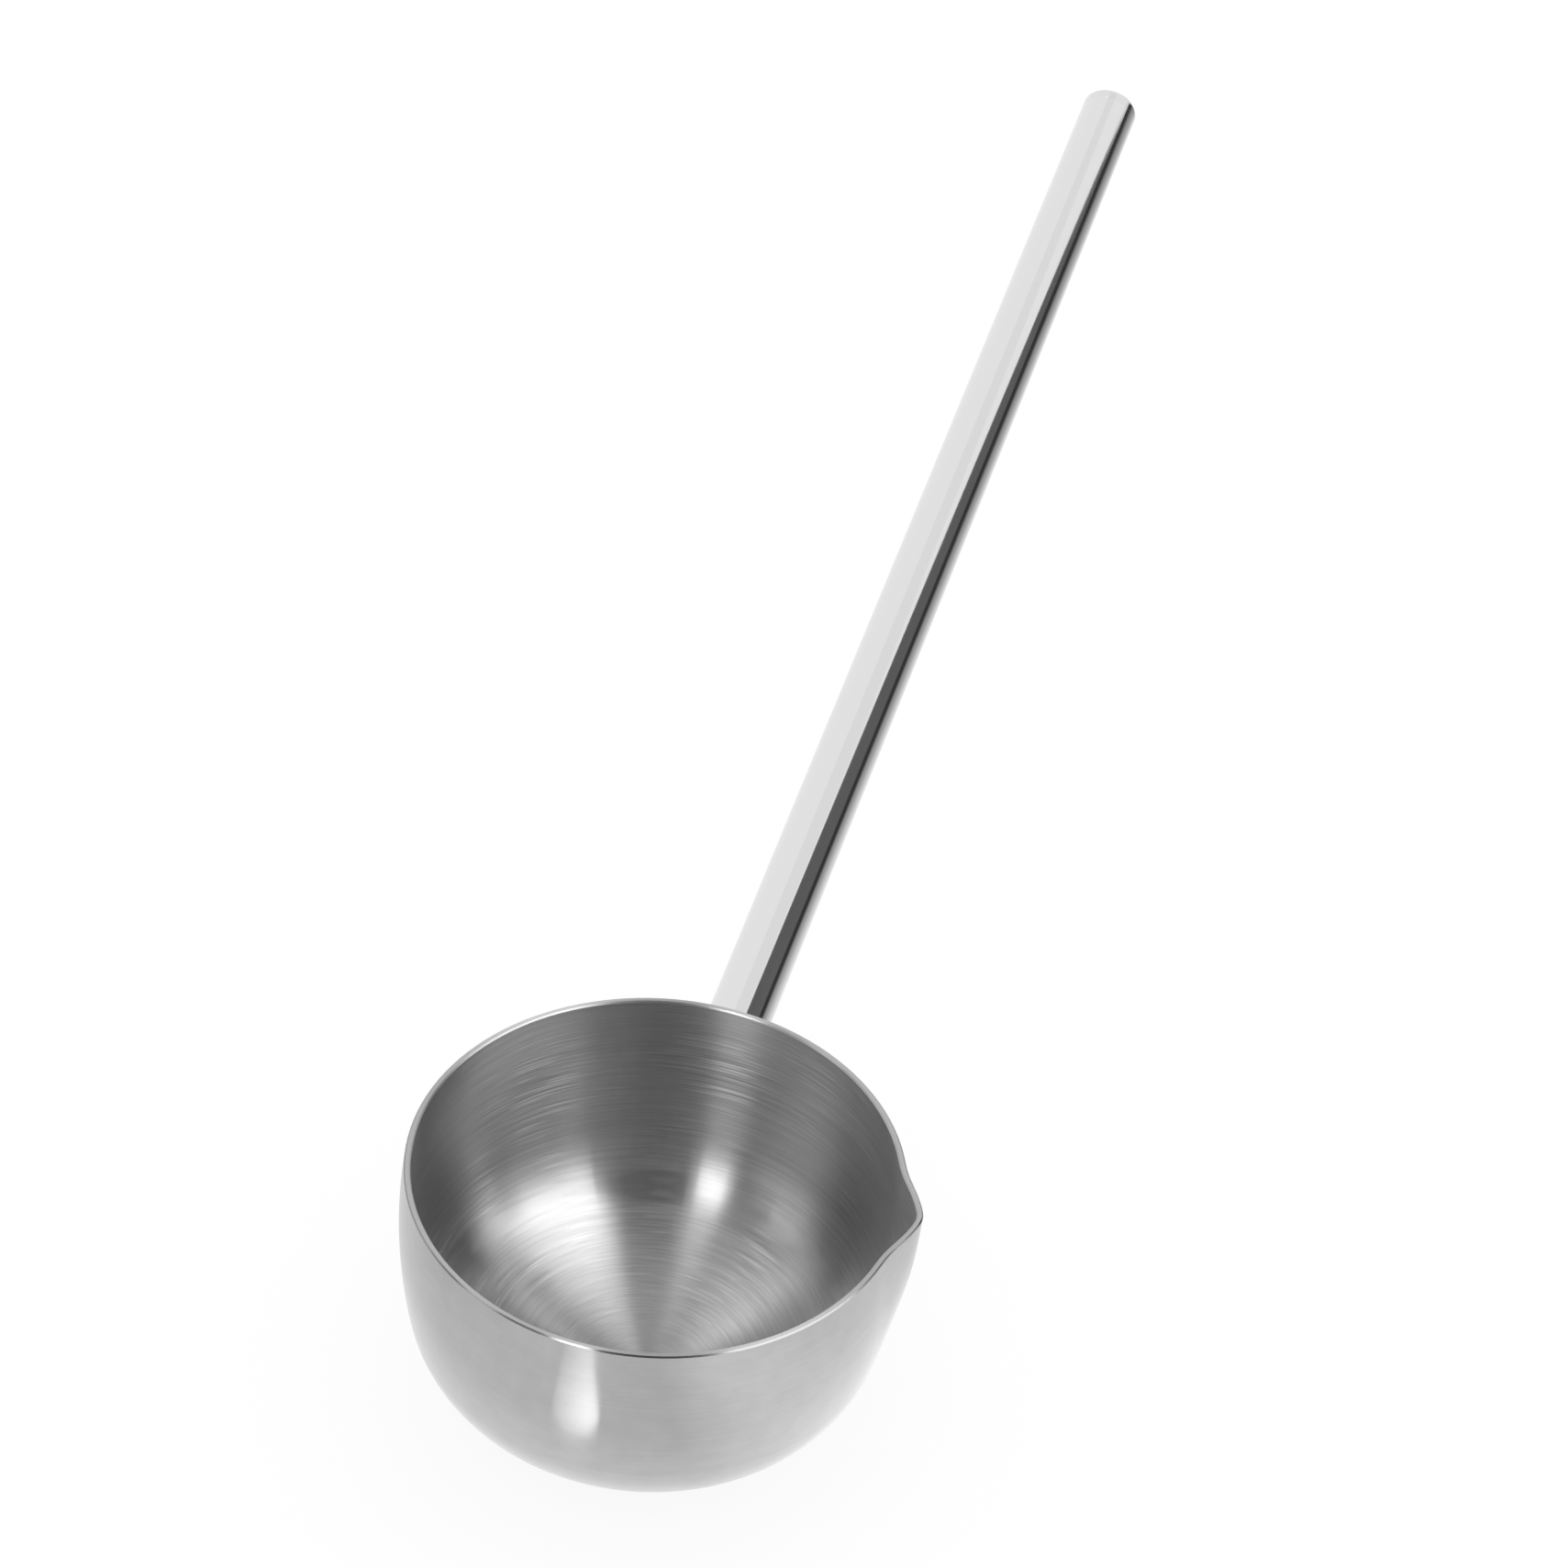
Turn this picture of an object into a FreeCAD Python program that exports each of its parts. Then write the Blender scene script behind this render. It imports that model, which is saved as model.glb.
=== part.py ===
import FreeCAD, Part
import math
import os

# A steel dipper: a deep round bowl with a pressed pouring lip at its side, and a straight
# tube handle, coped to the bowl's wall, welded there and closed by a cap at its far end.
# Millimetres. +Z is the bowl's axis, the origin is the middle of the flat spot under it,
# the handle leaves towards +Y and rises, and the lip is on the +X side.

# Bowl, one drawn sheet. Its outer outline is three tangent arcs from the rim down: the
# wall, which leans outwards first, the shoulder and the dome, whose middle is ground flat.
# The shoulder's centre is at its share of the bowl's height, which ends the wall's arc.
rim_radius = 38.0
bowl_height = 46.5
wall_bend = 93.0
wall_lean = 6.2
shoulder_height_share = 0.48335
shoulder_bend = 17.0
foot_flattening = 0.2
sheet_thickness = 1.0
rim_bevel = 0.22

# Pouring lip, seen from above: straight flanks, a rounded tip and hollow shoulders.
# The flanks would meet the round rim lip_half_width to each side of the tip. The lip
# fades down the wall, and the shares are those of the wall's poles from rim to shoulder.
lip_reach = 2.8
lip_half_width = 7.6
lip_tip_round = 1.2
lip_shoulder_round = 2.4
lip_turn_from_handle = 83.0
lip_reach_shares = (1.0, 0.58, 0.64, 0.0, 0.0)
lip_spans = 48

# Handle tube, along its own axis, which starts at the bowl's axis
tube_diameter = 10.0
tube_wall = 0.8
handle_length = 265.5
handle_rise = 10.0
tube_below_rim = 1.4

# Cap that closes the tube, and the weld bead round the coped end
cap_thickness = 2.4
cap_edge_round = 1.0
weld_radius = 0.75

tube_radius = tube_diameter / 2
skin_top = bowl_height - rim_bevel
handle_angle = math.radians(handle_rise)
lip_angle = math.radians(90.0 - lip_turn_from_handle)

# Half of the sector that the lip takes, out to where its hollow shoulders end
lip_half_chord = math.sqrt((lip_half_width + lip_shoulder_round + lip_tip_round) ** 2 - lip_tip_round ** 2)
lip_half_turn = lip_half_chord / rim_radius


def outline_arcs(inset):
    # Centre, bend and both end angles of the wall, the shoulder and the dome, moved inwards
    # by inset. Angles are taken at each centre, up from the horizontal that points outwards.
    lean = math.radians(wall_lean)
    wall_centre = (rim_radius - wall_bend * math.cos(lean), bowl_height - wall_bend * math.sin(lean))
    wall_start = math.asin((skin_top - wall_centre[1]) / (wall_bend - inset))
    shoulder_height = bowl_height * shoulder_height_share
    apart = wall_bend - shoulder_bend
    wall_end = math.asin((shoulder_height - wall_centre[1]) / apart)
    shoulder_centre = (wall_centre[0] + apart * math.cos(wall_end), shoulder_height)
    # The dome is tangent to the shoulder, its centre is on the bowl's axis, and its
    # lowest point would be foot_flattening below the flat spot
    drop = shoulder_height + foot_flattening
    dome_bend = (shoulder_centre[0] ** 2 + drop ** 2 - shoulder_bend ** 2) / (2 * (drop - shoulder_bend))
    dome_centre = (0.0, dome_bend - foot_flattening)
    shoulder_end = math.atan2(shoulder_centre[1] - dome_centre[1], shoulder_centre[0])
    return (
        (wall_centre, wall_bend - inset, wall_start, wall_end),
        (shoulder_centre, shoulder_bend - inset, wall_end, shoulder_end),
        (dome_centre, dome_bend - inset, shoulder_end, -math.pi / 2),
    )


def on_arc(centre, bend, angle):
    return (centre[0] + bend * math.cos(angle), centre[1] + bend * math.sin(angle))


def arc_edge(centre, bend, start, end):
    points = []
    for angle in (start, (start + end) / 2, end):
        radius, height = on_arc(centre, bend, angle)
        points.append(FreeCAD.Vector(radius, 0, height))
    return Part.Arc(*points).toShape()


def arc_poles(centre, bend, start, end):
    # Five poles that draw the arc as a curve of the fourth degree
    top = on_arc(centre, bend, start)
    low = on_arc(centre, bend, end)
    reach = 4 / 3 * math.tan((start - end) / 4) * bend
    after_top = (top[0] + reach * math.sin(start), top[1] - reach * math.cos(start))
    before_low = (low[0] - reach * math.sin(end), low[1] + reach * math.cos(end))
    poles = [top]
    poles.append(tuple((near + 3 * far) / 4 for near, far in zip(top, after_top)))
    poles.append(tuple((near + far) / 2 for near, far in zip(after_top, before_low)))
    poles.append(tuple((3 * near + far) / 4 for near, far in zip(before_low, low)))
    poles.append(low)
    return poles


def lip_share(turn):
    # How much of its reach the lip has at this angle: 1 at the tip, 0 where its sector ends
    from_tip = math.hypot(rim_radius * turn, lip_tip_round) - lip_tip_round
    inside = lip_half_width - from_tip
    if inside >= lip_shoulder_round:
        height = inside
    elif inside > -lip_shoulder_round:
        height = (inside + lip_shoulder_round) ** 2 / (4 * lip_shoulder_round)
    else:
        height = 0.0
    return height / lip_half_width


def around(radius, angle):
    return FreeCAD.Vector(radius * math.cos(angle), radius * math.sin(angle), 0)


def lip_row(radius, height, reach_share):
    # A curve about the bowl's axis across the lip's sector, pushed out at the lip. It
    # leaves the sector along the circle of the same radius.
    turns = [lip_half_turn * (2 * step / lip_spans - 1) for step in range(lip_spans + 1)]
    points = []
    for turn in turns:
        point = around(radius + lip_reach * reach_share * lip_share(turn), lip_angle + turn)
        points.append(point + FreeCAD.Vector(0, 0, height))
    quarter = math.pi / 2
    curve = Part.BSplineCurve()
    curve.interpolate(
        Points=points,
        Parameters=turns,
        InitialTangent=around(radius, lip_angle - lip_half_turn + quarter),
        FinalTangent=around(radius, lip_angle + lip_half_turn + quarter),
        Scale=False,
    )
    return curve


def lip_face(poles, shares):
    # The face across the lip's sector whose section is drawn by these poles
    curves = [lip_row(radius, height, share) for (radius, height), share in zip(poles, shares)]
    columns = [list(column) for column in zip(*[curve.getPoles() for curve in curves])]
    degree = len(poles) - 1
    surface = Part.BSplineSurface()
    surface.buildFromPolesMultsKnots(
        columns, curves[0].getMultiplicities(), [degree + 1, degree + 1],
        curves[0].getKnots(), [0.0, 1.0], False, False, 3, degree
    )
    return surface.toShape()


def turned(edge, start, sweep):
    # Sweeps an edge drawn above +X about the bowl's axis
    axis = FreeCAD.Vector(0, 0, 1)
    placed = edge.rotated(FreeCAD.Vector(), axis, math.degrees(start))
    return placed.revolve(FreeCAD.Vector(), axis, math.degrees(sweep))


def turned_past_lip(edge):
    return turned(edge, lip_angle + lip_half_turn, 2 * (math.pi - lip_half_turn))


def turned_under_lip(edge):
    return turned(edge, lip_angle - lip_half_turn, 2 * lip_half_turn)


def skin(inset):
    # The faces of one skin of the sheet from under the rim down. The outer skin ends at the
    # flat spot, whose radius comes with them, and the inner one in the middle of the dome.
    wall, shoulder, (centre, bend, start, end) = outline_arcs(inset)
    if bend > centre[1]:
        end = -math.asin(centre[1] / bend)
    faces = [turned_past_lip(arc_edge(*wall)), lip_face(arc_poles(*wall), lip_reach_shares)]
    for edge in (arc_edge(*shoulder), arc_edge(centre, bend, start, end)):
        faces.append(turned_past_lip(edge))
        faces.append(turned_under_lip(edge))
    return faces, on_arc(centre, bend, end)[0]


def circle_arc(radius, height, start, end):
    circle = Part.Circle(FreeCAD.Vector(0, 0, height), FreeCAD.Vector(0, 0, 1), radius)
    return Part.ArcOfCircle(circle, start, end).toShape()


def flat_face(radius, height, edge_at_lip):
    # A flat face bounded by a circle past the lip's sector and by the given edge across it
    past_lip = circle_arc(radius, height, lip_angle + lip_half_turn, lip_angle - lip_half_turn + 2 * math.pi)
    return Part.Face(Part.Wire([edge_at_lip, past_lip]))


def foot_face(radius):
    under_lip = circle_arc(radius, 0, lip_angle - lip_half_turn, lip_angle + lip_half_turn)
    return flat_face(radius, 0, under_lip)


def rim_faces(poles):
    # The flat top of the rim and its two bevels, from the outer skin to the inner one
    faces = []
    for start, end in zip(poles, poles[1:]):
        edge = Part.makeLine(FreeCAD.Vector(start[0], 0, start[1]), FreeCAD.Vector(end[0], 0, end[1]))
        faces.append(turned_past_lip(edge))
        faces.append(lip_face((start, end), (1.0, 1.0)))
    return faces


def closed_solid(faces):
    shell = Part.makeShell(faces)
    shell.sewShape()
    solid = Part.makeSolid(shell)
    if solid.Volume < 0:
        solid.reverse()
    return solid


def skin_edge(inset):
    wall = outline_arcs(inset)[0]
    return on_arc(wall[0], wall[1], wall[2])


def bowl_outside():
    # The bowl filled up to the rim, which copes the tube and seats the weld
    faces, foot_radius = skin(0.0)
    radius, height = skin_edge(0.0)
    faces.append(foot_face(foot_radius))
    faces.append(flat_face(radius, height, lip_row(radius, height, 1.0).toShape()))
    return closed_solid(faces)


def bowl():
    outer_faces, foot_radius = skin(0.0)
    inner_faces, _ = skin(sheet_thickness)
    outer_edge = skin_edge(0.0)
    inner_edge = skin_edge(sheet_thickness)
    flat_start = (outer_edge[0] - rim_bevel, bowl_height)
    flat_end = (inner_edge[0] + rim_bevel, bowl_height)
    faces = outer_faces + inner_faces + rim_faces([outer_edge, flat_start, flat_end, inner_edge])
    faces.append(foot_face(foot_radius))
    return closed_solid(faces)


def handle_way():
    return FreeCAD.Vector(0, math.cos(handle_angle), math.sin(handle_angle))


def handle_start():
    # Where the tube's axis crosses the bowl's axis, from the tube's seat under the rim
    axis_at_wall = bowl_height - tube_below_rim - tube_radius / math.cos(handle_angle)
    return FreeCAD.Vector(0, 0, axis_at_wall - rim_radius * math.tan(handle_angle))


def rod(radius, start_length, end_length):
    start = handle_start() + handle_way() * start_length
    return Part.makeCylinder(radius, end_length - start_length, start, handle_way())


def handle_tube():
    tube_end = handle_length - cap_thickness
    tube = rod(tube_radius, 0, tube_end).cut(rod(tube_radius - tube_wall, 0, tube_end))
    coped = tube.cut(bowl_outside())
    return coped.Solids[0]


def handle_end_cap():
    cap = rod(tube_radius, handle_length - cap_thickness, handle_length)
    middle = handle_start() + handle_way() * handle_length
    rim = [edge for edge in cap.Edges if edge.Closed and (edge.CenterOfMass - middle).Length < cap_edge_round]
    return cap.makeFillet(cap_edge_round, rim).Solids[0]


def handle_weld():
    # A round bead along the seam where the tube meets the bowl's skin, less both of them
    joined = bowl_outside().fuse(rod(tube_radius, 0, handle_length))
    edges = []
    for edge in joined.Edges:
        kinds = [type(face.Surface) for face in joined.ancestorsOfType(edge, Part.Face)]
        if Part.Cylinder in kinds and Part.SurfaceOfRevolution in kinds:
            edges.append(edge)
    seam = Part.Wire(Part.__sortEdges__(edges))
    first = seam.Edges[0]
    start = first.valueAt(first.FirstParameter)
    circle = Part.makeCircle(weld_radius, start, first.tangentAt(first.FirstParameter))
    bead = seam.makePipeShell([Part.Wire([circle])], True, True)
    return bead.cut(joined).Solids[0]


def export(name, shape):
    shape.exportStep("parts/" + name + ".step")
    print(name, "solids", len(shape.Solids), "volume", round(shape.Volume, 1), "valid", shape.isValid())


os.makedirs("parts", exist_ok=True)
export("bowl", bowl())
export("handle_tube", handle_tube())
export("handle_end_cap", handle_end_cap())
export("handle_weld", handle_weld())
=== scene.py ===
import math
import bpy
from mathutils import Euler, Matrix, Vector

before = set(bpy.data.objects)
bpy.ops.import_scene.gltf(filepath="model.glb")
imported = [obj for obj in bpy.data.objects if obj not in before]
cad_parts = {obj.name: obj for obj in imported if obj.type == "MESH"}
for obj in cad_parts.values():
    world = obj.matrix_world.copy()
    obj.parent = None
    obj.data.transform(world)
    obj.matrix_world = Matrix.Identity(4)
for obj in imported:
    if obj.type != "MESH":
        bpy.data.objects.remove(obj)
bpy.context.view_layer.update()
bpy.context.scene.view_settings.view_transform = "Standard"

mm = 0.001
noiseLow, noiseHigh = 0.3, 0.7      # most of a noise's values lie between these two


def linearFromHex(hexColour):
    channels = []
    for start in (0, 2, 4):
        value = int(hexColour[start:start + 2], 16) / 255
        channels.append(value / 12.92 if value <= 0.04045 else ((value + 0.055) / 1.055) ** 2.4)
    return (*channels, 1.0)


def addNode(tree, kind, settings=None, inputs=None):
    # settings are the node's own properties; inputs are plain values or sockets to link from
    node = tree.nodes.new(kind)
    for name, value in (settings or {}).items():
        setattr(node, name, value)
    for name, value in (inputs or {}).items():
        if isinstance(value, bpy.types.NodeSocket):
            tree.links.new(value, node.inputs[name])
        else:
            node.inputs[name].default_value = value
    return node


def emptyMaterial(name):
    material = bpy.data.materials.new(name)
    material.use_nodes = True
    material.node_tree.nodes.clear()
    return material, material.node_tree


def finishMaterial(tree, shaderSocket):
    addNode(tree, "ShaderNodeOutputMaterial", inputs={"Surface": shaderSocket})


# Camera, fitted to the rim, the handle and the bowl's outline in the photograph
camera = {
    "place": (0.1393, -0.5010, 0.5703),
    "aim": (-0.00863, 0.09240, 0.0465),
    "roll": 5.09,           # degrees, the frame leans a little
    "lens": 112.06,         # mm
    "sensor": 36.0,         # mm wide
    "nearest": 0.01,        # m
    "furthest": 50.0,
}


def makeCamera():
    data = bpy.data.cameras.new("photoCamera")
    data.sensor_width = camera["sensor"]
    data.lens = camera["lens"]
    data.clip_start = camera["nearest"]
    data.clip_end = camera["furthest"]
    thing = bpy.data.objects.new("photoCamera", data)
    bpy.context.scene.collection.objects.link(thing)
    place, aim = Vector(camera["place"]), Vector(camera["aim"])
    turn = (place - aim).to_track_quat("Z", "Y")
    roll = Euler((0, 0, math.radians(camera["roll"]))).to_quaternion()
    thing.location = place
    thing.rotation_mode = "QUATERNION"
    thing.rotation_quaternion = turn @ roll
    bpy.context.scene.camera = thing
    print("camera made")


makeCamera()

# Studio: a white room, a white floor, and dark and light panels on a wide ring round the
# object, which only reflections see. Turns are degrees to the right of the camera's own
# heading as seen from the object, heights are degrees above the floor.
studio = {
    "roomLevel": 1.0,
    "centre": (0.0, 0.0, 0.03),
    "heading": 15.6,        # degrees, the camera's
    "panelSteps": 16,       # flat faces across a panel, which is part of a ball
    "panels": [
        # name, distance m, turn from and to, height from and to, level
        ("darkFront", 8.0, -22, 33, 4, 76, 0.11),
        ("greyLeft", 8.0, -98, -40, 14, 76, 0.40),
        ("paleLeft", 7.6, -80, -62, 4, 36, 1.8),
        ("greyCeiling", 8.2, -180, 180, 80, 90, 0.62),
        ("softboxLeft", 7.0, -38, -21.5, 1, 45, 6.4),
        ("softboxRight", 7.0, 34, 92, 6, 72, 3.1),
        ("greyBack", 8.4, 125, 180, 50, 70, 0.92),
        ("paleBack", 8.4, -148, -118, 53, 77, 1.6),
        ("darkRight", 7.0, 107, 121.5, 12, 54, 0.13),
        ("blackEdge", 7.0, 95, 124, -0.25, 12, 0.045),
    ],
    "floorHalf": 20.0,      # m
    "floorDrop": 0.0005,    # m below the bowl, so that they don't share a plane
    "floorColour": "f8f8f8",
    "floorOwnLight": 0.86,      # what the camera sees of the paper's own light
    "floorPaperShare": 0.16,    # and of the lit paper, which carries the shadow
    # Painted light and shade in the paper in front, which polished steel sees, across the
    # picture from left to right: mm to the right of the bowl's middle, and level
    "paintedLightAndShadeAcrossFront": [(-90, 0.75), (-75, 0.85), (-45, 0.86), (-15, 0.82),
                    (12, 0.78), (40, 1.05), (58, 1.05), (75, 0.95)],
    # The same behind, painted shade where to the right the paper falls off into the dark of the
    # room
    "paintedShadeAcrossBack": [(0, 1.0), (20, 0.93), (60, 0.70), (140, 0.44), (600, 0.20)],
    "backFrom": 30.0,       # mm behind the bowl's middle, where the one gives way to the other
    "backTo": 80.0,
    # Painted light under the bowl's edge, which the low part of its outside sees
    "underBowlFrom": 34.0,      # mm from its axis
    "underBowlTo": 58.0,
    "underBowlLevel": 0.28,
    # A painted pool of light in front of the bowl, as a lamp from the left would leave it
    "poolStart": (-0.0059, -0.0640),    # m, the middle of its round near end
    "poolTurn": -24.4,      # degrees from the camera's heading
    "poolHalf": 9.0,        # mm
    "poolSoft": 2.0,        # mm
    "poolLevel": 1.15,      # above the paper's own, at its near end
    "poolFarLevel": 0.3,
    "poolLength": 45.0,     # mm
    "poolLeftShare": 0.20,      # of that level, at its left edge
}


def headingWay(turnDegrees):
    # The way on the floor so many degrees to the right of the camera's heading
    turn = math.radians(studio["heading"] + turnDegrees)
    return (math.sin(turn), -math.cos(turn), 0.0)


def panelMesh(name, distance, turnFrom, turnTo, heightFrom, heightTo):
    steps = studio["panelSteps"]
    centre = Vector(studio["centre"])
    points, faces = [], []
    for row in range(steps + 1):
        height = math.radians(heightFrom + (heightTo - heightFrom) * row / steps)
        for column in range(steps + 1):
            turn = turnFrom + (turnTo - turnFrom) * column / steps
            way = Vector(headingWay(turn)) * math.cos(height)
            way.z = math.sin(height)
            points.append(centre + way * distance)
    for row in range(steps):
        for column in range(steps):
            corner = row * (steps + 1) + column
            faces.append((corner, corner + 1, corner + steps + 2, corner + steps + 1))
    mesh = bpy.data.meshes.new(name)
    mesh.from_pydata([tuple(point) for point in points], [], faces)
    return mesh


def makePanels():
    for name, distance, turnFrom, turnTo, heightFrom, heightTo, level in studio["panels"]:
        material, tree = emptyMaterial(name)
        glow = addNode(tree, "ShaderNodeEmission", inputs={
            "Color": (1, 1, 1, 1), "Strength": level})
        finishMaterial(tree, glow.outputs[0])
        mesh = panelMesh(name, distance, turnFrom, turnTo, heightFrom, heightTo)
        mesh.materials.append(material)
        panel = bpy.data.objects.new(name, mesh)
        bpy.context.scene.collection.objects.link(panel)
        panel.visible_camera = False
        panel.visible_shadow = False
        panel.visible_diffuse = False
    print("panels made")


def makeRoom():
    world = bpy.data.worlds.new("whiteRoom")
    world.use_nodes = True
    tree = world.node_tree
    tree.nodes.clear()
    white = addNode(tree, "ShaderNodeBackground", inputs={
        "Color": (1, 1, 1, 1), "Strength": studio["roomLevel"]})
    addNode(tree, "ShaderNodeOutputWorld", inputs={"Surface": white.outputs[0]})
    bpy.context.scene.world = world
    print("room made")


def makeFloor():
    # White paper that stays near white in the picture and still takes the object's shadow
    material, tree = emptyMaterial("whitePaperFloor")
    place = addNode(tree, "ShaderNodeTexCoord")
    path = addNode(tree, "ShaderNodeLightPath")
    reflected = addNode(tree, "ShaderNodeMath", {"operation": "ADD", "use_clamp": True}, {
        0: path.outputs["Is Glossy Ray"], 1: path.outputs["Is Transmission Ray"]})

    def across(way, stops):
        # The paper's level by how far a place lies along this way
        left, right = stops[0][0], stops[-1][0]
        where = addNode(tree, "ShaderNodeVectorMath", {"operation": "DOT_PRODUCT"}, {
            0: place.outputs["Object"], 1: way})
        where = addNode(tree, "ShaderNodeMapRange", inputs={
            "Value": where.outputs["Value"], "From Min": left * mm, "From Max": right * mm})
        levels = addNode(tree, "ShaderNodeValToRGB", inputs={0: where.outputs[0]})
        while len(levels.color_ramp.elements) < len(stops):
            levels.color_ramp.elements.new(0.5)
        for element, (mmRight, level) in zip(levels.color_ramp.elements, stops):
            element.position = (mmRight - left) / (right - left)
            element.color = (level, level, level, 1.0)
        return levels.outputs[0]

    # The painted pool of light: a band with a round near end, brightest there and towards its
    # right edge
    fromPool = addNode(tree, "ShaderNodeVectorMath", {"operation": "SUBTRACT"}, {
        0: place.outputs["Object"], 1: (*studio["poolStart"], 0.0)})
    outwards = addNode(tree, "ShaderNodeVectorMath", {"operation": "DOT_PRODUCT"}, {
        0: fromPool.outputs[0], 1: headingWay(studio["poolTurn"])})
    beforeStart = addNode(tree, "ShaderNodeMath", {"operation": "MINIMUM"}, {
        0: outwards.outputs["Value"], 1: 0.0})
    sideways = addNode(tree, "ShaderNodeVectorMath", {"operation": "DOT_PRODUCT"}, {
        0: fromPool.outputs[0], 1: headingWay(studio["poolTurn"] + 90)})
    toPool = addNode(tree, "ShaderNodeCombineXYZ", inputs={
        "X": beforeStart.outputs[0], "Y": sideways.outputs["Value"]})
    toPool = addNode(tree, "ShaderNodeVectorMath", {"operation": "LENGTH"}, {
        0: toPool.outputs[0]})
    pool = addNode(tree, "ShaderNodeMapRange", {"interpolation_type": "SMOOTHSTEP"}, {
        "Value": toPool.outputs["Value"],
        "From Min": (studio["poolHalf"] + studio["poolSoft"] / 2) * mm,
        "From Max": (studio["poolHalf"] - studio["poolSoft"] / 2) * mm,
        "To Min": 0.0, "To Max": 1.0})
    poolLevel = addNode(tree, "ShaderNodeMapRange", inputs={
        "Value": outwards.outputs["Value"],
        "From Min": 0.0, "From Max": studio["poolLength"] * mm,
        "To Min": studio["poolLevel"], "To Max": studio["poolFarLevel"]})
    rightwards = addNode(tree, "ShaderNodeMapRange", inputs={
        "Value": sideways.outputs["Value"],
        "From Min": -studio["poolHalf"] * mm, "From Max": studio["poolHalf"] / 2 * mm,
        "To Min": studio["poolLeftShare"], "To Max": 1.0})
    poolLevel = addNode(tree, "ShaderNodeMath", {"operation": "MULTIPLY"}, {
        0: poolLevel.outputs[0], 1: rightwards.outputs[0]})

    # What polished steel sees: the paper in front with its painted light and shade, the painted
    # pool and the painted light under the bowl's edge, and the paper behind with its painted
    # shade
    fromAxis = addNode(tree, "ShaderNodeVectorMath", {"operation": "LENGTH"}, {
        0: place.outputs["Object"]})
    underBowl = addNode(tree, "ShaderNodeMapRange", inputs={
        "Value": fromAxis.outputs["Value"],
        "From Min": studio["underBowlTo"] * mm, "From Max": studio["underBowlFrom"] * mm,
        "To Min": 0.0, "To Max": studio["underBowlLevel"]})
    front = addNode(tree, "ShaderNodeMath", {"operation": "MULTIPLY_ADD"}, {
        0: pool.outputs[0], 1: poolLevel.outputs[0],
        2: across(headingWay(90), studio["paintedLightAndShadeAcrossFront"])})
    front = addNode(tree, "ShaderNodeMath", {"operation": "ADD"}, {
        0: front.outputs[0], 1: underBowl.outputs[0]})
    part = addNode(tree, "ShaderNodeSeparateXYZ", inputs={0: place.outputs["Object"]})
    behind = addNode(tree, "ShaderNodeMapRange", inputs={
        "Value": part.outputs["Y"],
        "From Min": studio["backFrom"] * mm, "From Max": studio["backTo"] * mm})
    level = addNode(tree, "ShaderNodeMix", {"data_type": "FLOAT"}, {
        0: behind.outputs[0], 2: front.outputs[0],
        3: across((1.0, 0.0, 0.0), studio["paintedShadeAcrossBack"])})

    # The camera sees the paper's own light and its shadow, polished steel the painted levels
    # above, and everything else a plain white diffuse paper
    glow = addNode(tree, "ShaderNodeMix", {"data_type": "FLOAT"}, {
        0: path.outputs["Is Camera Ray"], 2: 0.0, 3: studio["floorOwnLight"]})
    glow = addNode(tree, "ShaderNodeMix", {"data_type": "FLOAT"}, {
        0: reflected.outputs[0], 2: glow.outputs[0], 3: level.outputs[0]})
    glow = addNode(tree, "ShaderNodeEmission", inputs={
        "Color": (1, 1, 1, 1), "Strength": glow.outputs[0]})
    paperShare = addNode(tree, "ShaderNodeMix", {"data_type": "FLOAT"}, {
        0: path.outputs["Is Camera Ray"], 2: 1.0, 3: studio["floorPaperShare"]})
    paperShare = addNode(tree, "ShaderNodeMix", {"data_type": "FLOAT"}, {
        0: reflected.outputs[0], 2: paperShare.outputs[0], 3: 0.0})
    paper = addNode(tree, "ShaderNodeBsdfDiffuse", inputs={
        "Color": linearFromHex(studio["floorColour"])})
    dark = addNode(tree, "ShaderNodeBsdfDiffuse", inputs={"Color": (0, 0, 0, 1)})
    lit = addNode(tree, "ShaderNodeMixShader", inputs={
        0: paperShare.outputs[0], 1: dark.outputs[0], 2: paper.outputs[0]})
    both = addNode(tree, "ShaderNodeAddShader", inputs={0: lit.outputs[0], 1: glow.outputs[0]})
    finishMaterial(tree, both.outputs[0])

    half = studio["floorHalf"]
    corners = [(-half, -half, 0), (half, -half, 0), (half, half, 0), (-half, half, 0)]
    mesh = bpy.data.meshes.new("floor")
    mesh.from_pydata(corners, [], [(0, 1, 2, 3)])
    mesh.materials.append(material)
    floor = bpy.data.objects.new("floor", mesh)
    floor.location.z = -studio["floorDrop"]
    bpy.context.scene.collection.objects.link(floor)
    print("floor made")


makePanels()
makeRoom()
makeFloor()

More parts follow.
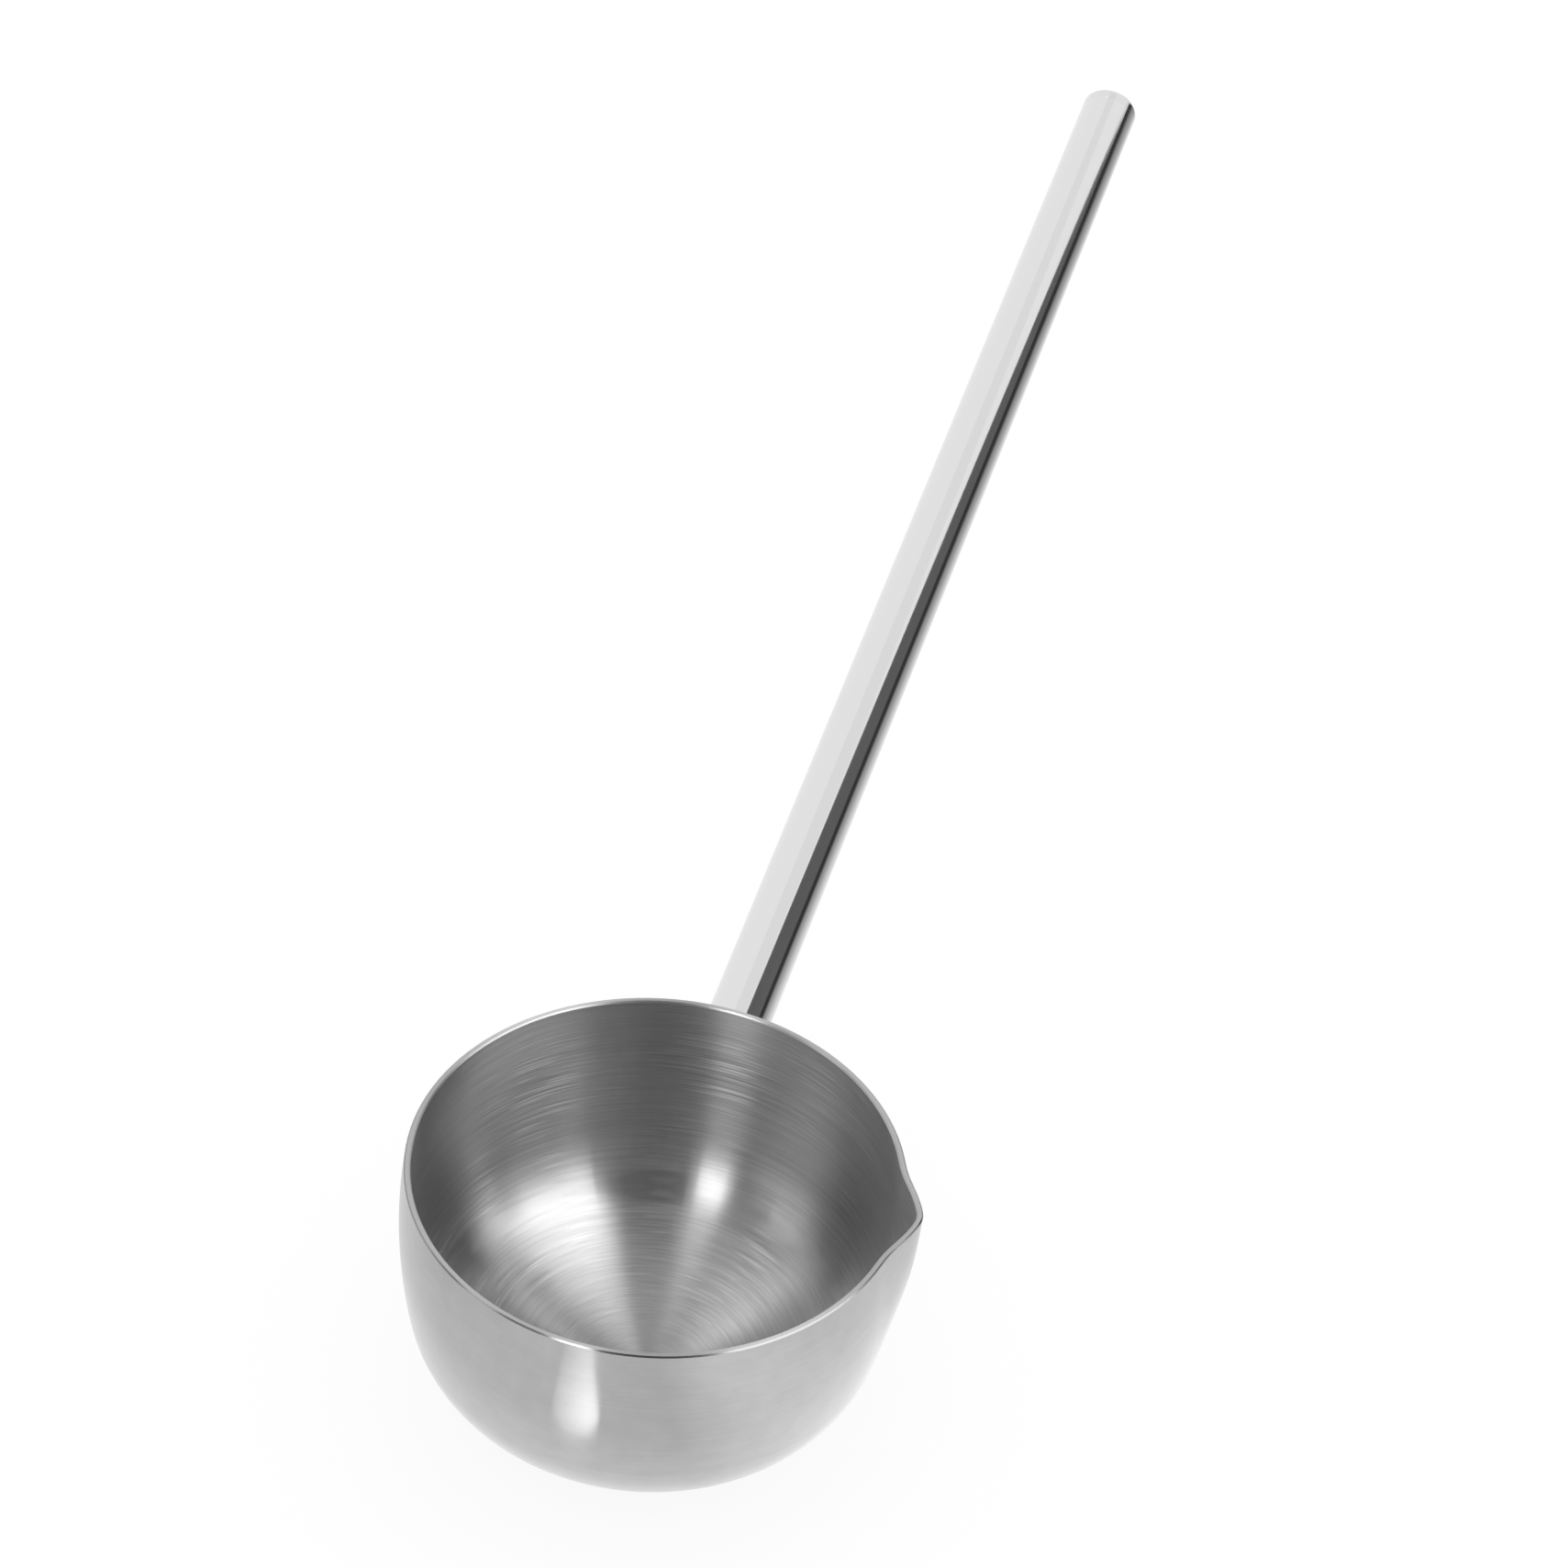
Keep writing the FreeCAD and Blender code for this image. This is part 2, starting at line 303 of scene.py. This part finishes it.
# Bowl steel
bowlSteel = {
    "insideColour": "b8b8b8",
    "outsideColour": "bcbcbc",
    "rimColour": "bebebe",
    "insideRoughness": 0.30,
    "outsideRoughness": 0.13,
    "rimRoughness": 0.40,
    "bevelRoughness": 0.25,     # of the rim's outer edge
    "bevelTone": 0.60,          # of the rim's colour
    "bevelLean": (0.80, 0.95),  # how far up a face looks, from the bevel to the flat top
    "stretch": 0.98,            # how far the brushing draws a reflection out
    "stretchTurn": 0.25,        # of a whole turn, so that it is drawn down the wall
    "wornSpread": 0.01,         # of roughness, where smudges are
    "smudgeSize": 14.0,         # mm, from hands and drying water
    "brushLength": 20.0,        # mm, one brush line
    "brushWidth": 0.13,         # mm, real ones are nearer 0.03 and wouldn't show
    "brushDepth": 0.0015,       # mm inside, and half of it outside
    "brushFineness": 0.6,       # how strong the finer lines in each one are
    "brushRange": (0.38, 0.62),  # of the noise, from the darkest line to the lightest
    "brushTone": 0.08,          # how much lighter and darker the lines are inside
    "outsideTone": 0.02,
    "mottleSize": 3.5,          # mm, of the satin's faint clouds
    "mottleTone": 0.03,
    "mottleInside": 0.5,        # of their strength outside
    "scratchLength": 11.0,      # mm, the arcs of deeper scratches
    "scratchWidth": 0.19,       # mm, again coarser than real ones
    "scratchLight": 0.55,
    "scratchDark": 0.32,
    "scratchPeaks": (0.58, 0.70),       # of the noise: these peaks are light scratches,
    "scratchHollows": (0.42, 0.30),     # and these hollows are dark ones
    "scratchFrom": 10.0,        # mm from the axis, where they start to grow stronger
    "scratchFull": 28.0,
    "scratchMiddle": 0.3,       # of their strength, nearer the axis
    "patchSize": 13.0,          # mm, of the patches where scratches gather
    "patchRange": (0.47, 0.62),  # of the noise, from a patch's edge to its middle
    "patchShare": 0.45,         # of the full strength, in the scattered patches
    # Where they gather most, from stirring and scooping: m from the origin, and mm wide
    "scratchSpots": [((-0.0287, 0.0241, 0.0310), 36.0), ((0.0005, 0.0375, 0.0330), 28.0)],
    "rimStart": 46.26,          # mm above the floor
    "bowlRadius": 38.0,         # mm
    "bowlMiddle": 45.0,         # mm above the floor
}


def makeBowlSteel():
    # Stainless steel sheet: the inside turned on a lathe, so fine lines run round it and draw
    # each light out into a streak down the wall; the outside satin polished; the rim ground
    b = bowlSteel
    material, tree = emptyMaterial("turnedStainlessSteel")
    place = addNode(tree, "ShaderNodeTexCoord")
    part = addNode(tree, "ShaderNodeSeparateXYZ", inputs={0: place.outputs["Object"]})

    # Inside or outside: does the surface face the bowl's middle
    fromMiddle = addNode(tree, "ShaderNodeVectorMath", {"operation": "SUBTRACT"}, {
        0: place.outputs["Object"], 1: (0, 0, b["bowlMiddle"] * mm)})
    facing = addNode(tree, "ShaderNodeVectorMath", {"operation": "DOT_PRODUCT"}, {
        0: place.outputs["Normal"], 1: fromMiddle.outputs[0]})
    inside = addNode(tree, "ShaderNodeMath", {"operation": "LESS_THAN"}, {
        0: facing.outputs["Value"], 1: 0.0})
    onRim = addNode(tree, "ShaderNodeMath", {"operation": "GREATER_THAN"}, {
        0: part.outputs["Z"], 1: b["rimStart"] * mm})

    def onEach(outsideValue, insideValue, rimValue):
        value = addNode(tree, "ShaderNodeMix", {"data_type": "FLOAT"}, {
            0: inside.outputs[0], 2: outsideValue, 3: insideValue})
        value = addNode(tree, "ShaderNodeMix", {"data_type": "FLOAT"}, {
            0: onRim.outputs[0], 2: value.outputs[0], 3: rimValue})
        return value.outputs[0]

    # Place on the wall: bearing round the axis, and how far down the wall
    flat = addNode(tree, "ShaderNodeCombineXYZ", inputs={
        "X": part.outputs["X"], "Y": part.outputs["Y"]})
    radius = addNode(tree, "ShaderNodeVectorMath", {"operation": "LENGTH"}, {
        0: flat.outputs[0]})
    bearing = addNode(tree, "ShaderNodeVectorMath", {"operation": "NORMALIZE"}, {
        0: flat.outputs[0]})
    down = addNode(tree, "ShaderNodeMath", {"operation": "SUBTRACT"}, {
        0: part.outputs["Z"], 1: radius.outputs["Value"]})

    def linesRoundBowl(lengthMm, widthMm, detail):
        # Lines of this length round the axis, and of this width down the wall
        turned = addNode(tree, "ShaderNodeVectorMath", {"operation": "SCALE"}, {
            0: bearing.outputs[0], "Scale": b["bowlRadius"] / lengthMm})
        lowered = addNode(tree, "ShaderNodeMath", {"operation": "MULTIPLY"}, {
            0: down.outputs[0], 1: 1 / (widthMm * mm)})
        lowered = addNode(tree, "ShaderNodeCombineXYZ", inputs={"Z": lowered.outputs[0]})
        where = addNode(tree, "ShaderNodeVectorMath", {"operation": "ADD"}, {
            0: turned.outputs[0], 1: lowered.outputs[0]})
        lines = addNode(tree, "ShaderNodeTexNoise", {"noise_dimensions": "3D"}, {
            "Vector": where.outputs[0], "Scale": 1.0, "Detail": detail,
            "Roughness": b["brushFineness"]})
        return lines.outputs[0]

    brushing = linesRoundBowl(b["brushLength"], b["brushWidth"], 2.0)
    scratches = linesRoundBowl(b["scratchLength"], b["scratchWidth"], 0.0)

    # Where scratches gather, and how strongly
    patches = addNode(tree, "ShaderNodeTexNoise", {"noise_dimensions": "3D"}, {
        "Vector": place.outputs["Object"], "Scale": 1 / (b["patchSize"] * mm), "Detail": 1.0})
    patches = addNode(tree, "ShaderNodeMapRange", inputs={
        "Value": patches.outputs[0],
        "From Min": b["patchRange"][0], "From Max": b["patchRange"][1]})
    patches = addNode(tree, "ShaderNodeMath", {"operation": "MULTIPLY"}, {
        0: patches.outputs[0], 1: b["patchShare"]})
    for spot, width in b["scratchSpots"]:
        away = addNode(tree, "ShaderNodeVectorMath", {"operation": "DISTANCE"}, {
            0: place.outputs["Object"], 1: spot})
        near = addNode(tree, "ShaderNodeMapRange", {"interpolation_type": "SMOOTHSTEP"}, {
            "Value": away.outputs["Value"], "From Min": width * mm / 2, "From Max": 0.0})
        patches = addNode(tree, "ShaderNodeMath", {"operation": "MAXIMUM"}, {
            0: patches.outputs[0], 1: near.outputs[0]})
    gathered = addNode(tree, "ShaderNodeMath", {"operation": "MULTIPLY"}, {
        0: patches.outputs[0], 1: onEach(0.0, 1.0, 0.0)})
    outerPart = addNode(tree, "ShaderNodeMapRange", inputs={
        "Value": radius.outputs["Value"],
        "From Min": b["scratchFrom"] * mm, "From Max": b["scratchFull"] * mm,
        "To Min": b["scratchMiddle"], "To Max": 1.0})
    gathered = addNode(tree, "ShaderNodeMath", {"operation": "MULTIPLY"}, {
        0: gathered.outputs[0], 1: outerPart.outputs[0]})

    # Tone: the brushing spread about 1, with clouds, and scratches on it inside
    tone = addNode(tree, "ShaderNodeMapRange", inputs={
        "Value": brushing, "From Min": b["brushRange"][0], "From Max": b["brushRange"][1],
        "To Min": -1.0, "To Max": 1.0})
    tone = addNode(tree, "ShaderNodeMath", {"operation": "MULTIPLY_ADD"}, {
        0: tone.outputs[0], 1: onEach(b["outsideTone"], b["brushTone"], 0.0), 2: 1.0})
    mottle = addNode(tree, "ShaderNodeTexNoise", {"noise_dimensions": "3D"}, {
        "Vector": place.outputs["Object"], "Scale": 1 / (b["mottleSize"] * mm), "Detail": 4.0})
    mottle = addNode(tree, "ShaderNodeMapRange", inputs={
        "Value": mottle.outputs[0], "From Min": noiseLow, "From Max": noiseHigh,
        "To Min": -b["mottleTone"], "To Max": b["mottleTone"]})
    tone = addNode(tree, "ShaderNodeMath", {"operation": "MULTIPLY_ADD"}, {
        0: mottle.outputs[0], 1: onEach(1.0, b["mottleInside"], 0.0), 2: tone.outputs[0]})
    light = addNode(tree, "ShaderNodeMapRange", {"interpolation_type": "SMOOTHSTEP"}, {
        "Value": scratches,
        "From Min": b["scratchPeaks"][0], "From Max": b["scratchPeaks"][1],
        "To Min": 0.0, "To Max": b["scratchLight"]})
    dark = addNode(tree, "ShaderNodeMapRange", {"interpolation_type": "SMOOTHSTEP"}, {
        "Value": scratches,
        "From Min": b["scratchHollows"][0], "From Max": b["scratchHollows"][1],
        "To Min": 0.0, "To Max": -b["scratchDark"]})
    marks = addNode(tree, "ShaderNodeMath", {"operation": "ADD"}, {
        0: light.outputs[0], 1: dark.outputs[0]})
    tone = addNode(tree, "ShaderNodeMath", {"operation": "MULTIPLY_ADD"}, {
        0: marks.outputs[0], 1: gathered.outputs[0], 2: tone.outputs[0]})

    # The rim's outer edge is finer, and its colour is darker the more its face leans from up,
    # which draws a thin dark line along it; its flat top and inner edge are ground
    tilt = addNode(tree, "ShaderNodeSeparateXYZ", inputs={0: place.outputs["Normal"]})
    flatness = addNode(tree, "ShaderNodeMath", {"operation": "ADD"}, {
        0: tilt.outputs["Z"], 1: inside.outputs[0]})
    rimTone = addNode(tree, "ShaderNodeMapRange", inputs={
        "Value": flatness.outputs[0],
        "From Min": b["bevelLean"][0], "From Max": b["bevelLean"][1],
        "To Min": b["bevelTone"], "To Max": 1.0})
    tone = addNode(tree, "ShaderNodeMath", {"operation": "MULTIPLY"}, {
        0: tone.outputs[0], 1: onEach(1.0, 1.0, rimTone.outputs[0])})
    rimRough = addNode(tree, "ShaderNodeMapRange", inputs={
        "Value": flatness.outputs[0],
        "From Min": b["bevelLean"][0], "From Max": b["bevelLean"][1],
        "To Min": b["bevelRoughness"], "To Max": b["rimRoughness"]})

    colour = addNode(tree, "ShaderNodeMix", {"data_type": "RGBA"}, {
        0: inside.outputs[0],
        6: linearFromHex(b["outsideColour"]), 7: linearFromHex(b["insideColour"])})
    colour = addNode(tree, "ShaderNodeMix", {"data_type": "RGBA"}, {
        0: onRim.outputs[0], 6: colour.outputs[2], 7: linearFromHex(b["rimColour"])})
    colour = addNode(tree, "ShaderNodeVectorMath", {"operation": "SCALE"}, {
        0: colour.outputs[2], "Scale": tone.outputs[0]})

    smudges = addNode(tree, "ShaderNodeTexNoise", {"noise_dimensions": "3D"}, {
        "Vector": place.outputs["Object"], "Scale": 1 / (b["smudgeSize"] * mm), "Detail": 3.0})
    worn = addNode(tree, "ShaderNodeMapRange", inputs={
        "Value": smudges.outputs[0], "From Min": noiseLow, "From Max": noiseHigh,
        "To Min": -b["wornSpread"], "To Max": b["wornSpread"]})
    rough = addNode(tree, "ShaderNodeMath", {"operation": "ADD"}, {
        0: onEach(b["outsideRoughness"], b["insideRoughness"], rimRough.outputs[0]),
        1: worn.outputs[0]})
    bump = addNode(tree, "ShaderNodeBump", inputs={
        "Strength": 1.0, "Height": brushing,
        "Distance": onEach(b["brushDepth"] * mm / 2, b["brushDepth"] * mm, 0.0)})
    grain = addNode(tree, "ShaderNodeTangent", {"direction_type": "RADIAL", "axis": "Z"})
    steel = addNode(tree, "ShaderNodeBsdfPrincipled", inputs={
        "Base Color": colour.outputs[0], "Metallic": 1.0, "Roughness": rough.outputs[0],
        "Anisotropic": b["stretch"], "Anisotropic Rotation": b["stretchTurn"],
        "Tangent": grain.outputs[0], "Normal": bump.outputs[0]})
    finishMaterial(tree, steel.outputs[0])
    print("bowl steel made")
    return material


# Handle steel
handleSteel = {
    "colour": "e0e0e0",
    "roughness": 0.065,
    "roughnessSpread": 0.03,    # from the cleanest place to the most smudged
    "smudgeSize": 22.0,         # mm
    "rise": 10.0,               # degrees, the way the polish lines run
    "lineLength": 30.0,         # mm
    "lineWidth": 0.35,          # mm, real ones are far finer
    "lineDepth": 0.0004,        # mm
}


def makeHandleSteel():
    # Stainless steel tube buffed to a mirror: what is left of the polishing is faint lines
    # along it and soft smudges, which only show where a reflection's edge crosses them
    h = handleSteel
    material, tree = emptyMaterial("mirrorPolishedStainlessSteel")
    place = addNode(tree, "ShaderNodeTexCoord")
    along = addNode(tree, "ShaderNodeMapping", {"vector_type": "POINT"}, {
        "Vector": place.outputs["Object"], "Rotation": (-math.radians(h["rise"]), 0, 0)})
    across = 1 / (h["lineWidth"] * mm)
    along = addNode(tree, "ShaderNodeVectorMath", {"operation": "MULTIPLY"}, {
        0: along.outputs[0], 1: (across, 1 / (h["lineLength"] * mm), across)})
    lines = addNode(tree, "ShaderNodeTexNoise", {"noise_dimensions": "3D"}, {
        "Vector": along.outputs[0], "Scale": 1.0, "Detail": 2.0})
    smudges = addNode(tree, "ShaderNodeTexNoise", {"noise_dimensions": "3D"}, {
        "Vector": place.outputs["Object"], "Scale": 1 / (h["smudgeSize"] * mm), "Detail": 4.0})
    rough = addNode(tree, "ShaderNodeMapRange", inputs={
        "Value": smudges.outputs[0], "From Min": noiseLow, "From Max": noiseHigh,
        "To Min": h["roughness"] - h["roughnessSpread"] / 2,
        "To Max": h["roughness"] + h["roughnessSpread"] / 2})
    bump = addNode(tree, "ShaderNodeBump", inputs={
        "Strength": 1.0, "Distance": h["lineDepth"] * mm, "Height": lines.outputs[0]})
    steel = addNode(tree, "ShaderNodeBsdfPrincipled", inputs={
        "Base Color": linearFromHex(h["colour"]), "Metallic": 1.0,
        "Roughness": rough.outputs[0], "Normal": bump.outputs[0]})
    finishMaterial(tree, steel.outputs[0])
    print("handle steel made")
    return material


# End cap steel
capSteel = {
    "colour": "dedede",
    "roughness": 0.09,
    "roughnessSpread": 0.06,    # from ring to ring
    "ringWidth": 0.30,          # mm, between the rings that facing the disc leaves
    "ringDepth": 0.0008,        # mm
    "middle": (0.0, 0.26147, 0.07942),      # m, a point on the tube's axis at the cap
    "rise": 10.0,               # degrees, the tube's
}


def makeCapSteel():
    # Stainless steel disc, faced on a lathe and buffed: rings round its middle catch the light
    c = capSteel
    material, tree = emptyMaterial("facedStainlessSteel")
    place = addNode(tree, "ShaderNodeTexCoord")
    centred = addNode(tree, "ShaderNodeVectorMath", {"operation": "SUBTRACT"}, {
        0: place.outputs["Object"], 1: c["middle"]})
    rise = math.radians(c["rise"])
    sideways = addNode(tree, "ShaderNodeVectorMath", {"operation": "DOT_PRODUCT"}, {
        0: centred.outputs[0], 1: (1, 0, 0)})
    upwards = addNode(tree, "ShaderNodeVectorMath", {"operation": "DOT_PRODUCT"}, {
        0: centred.outputs[0], 1: (0.0, -math.sin(rise), math.cos(rise))})
    flat = addNode(tree, "ShaderNodeCombineXYZ", inputs={
        "X": sideways.outputs["Value"], "Y": upwards.outputs["Value"]})
    radius = addNode(tree, "ShaderNodeVectorMath", {"operation": "LENGTH"}, {
        0: flat.outputs[0]})
    rings = addNode(tree, "ShaderNodeTexNoise", {"noise_dimensions": "1D"}, {
        "W": radius.outputs["Value"], "Scale": 1 / (c["ringWidth"] * mm), "Detail": 2.0})
    rough = addNode(tree, "ShaderNodeMapRange", inputs={
        "Value": rings.outputs[0], "From Min": noiseLow, "From Max": noiseHigh,
        "To Min": c["roughness"] - c["roughnessSpread"] / 2,
        "To Max": c["roughness"] + c["roughnessSpread"] / 2})
    bump = addNode(tree, "ShaderNodeBump", inputs={
        "Strength": 1.0, "Distance": c["ringDepth"] * mm, "Height": rings.outputs[0]})
    steel = addNode(tree, "ShaderNodeBsdfPrincipled", inputs={
        "Base Color": linearFromHex(c["colour"]), "Metallic": 1.0,
        "Roughness": rough.outputs[0], "Normal": bump.outputs[0]})
    finishMaterial(tree, steel.outputs[0])
    print("cap steel made")
    return material


# Weld steel
weldSteel = {
    "colour": "b0afae",
    "straw": "b3a78f",          # the faint heat tint that brushing left
    "strawRange": (0.45, 0.8),  # of the noise, from no tint to the most
    "strawMost": 0.6,
    "roughness": 0.34,
    "rippleSize": 0.9,          # mm, between the bead's ripples
    "rippleDepth": 0.03,        # mm
}


def makeWeldSteel():
    # Stainless weld bead, wire brushed: fine ripples and a trace of straw-coloured heat tint
    w = weldSteel
    material, tree = emptyMaterial("brushedWeldBead")
    place = addNode(tree, "ShaderNodeTexCoord")
    ripples = addNode(tree, "ShaderNodeTexNoise", {"noise_dimensions": "3D"}, {
        "Vector": place.outputs["Object"], "Scale": 1 / (w["rippleSize"] * mm), "Detail": 3.0})
    tint = addNode(tree, "ShaderNodeMapRange", inputs={
        "Value": ripples.outputs[0],
        "From Min": w["strawRange"][0], "From Max": w["strawRange"][1],
        "To Min": 0.0, "To Max": w["strawMost"]})
    colour = addNode(tree, "ShaderNodeMix", {"data_type": "RGBA"}, {
        0: tint.outputs[0], 6: linearFromHex(w["colour"]), 7: linearFromHex(w["straw"])})
    bump = addNode(tree, "ShaderNodeBump", inputs={
        "Strength": 1.0, "Distance": w["rippleDepth"] * mm, "Height": ripples.outputs[0]})
    steel = addNode(tree, "ShaderNodeBsdfPrincipled", inputs={
        "Base Color": colour.outputs[2], "Metallic": 1.0,
        "Roughness": w["roughness"], "Normal": bump.outputs[0]})
    finishMaterial(tree, steel.outputs[0])
    print("weld steel made")
    return material


def dress(node, material):
    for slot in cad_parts[node].material_slots:
        slot.material = material


dress("bowl", makeBowlSteel())
dress("handle_tube", makeHandleSteel())
dress("handle_end_cap", makeCapSteel())
dress("handle_weld", makeWeldSteel())
print("steel dressed")
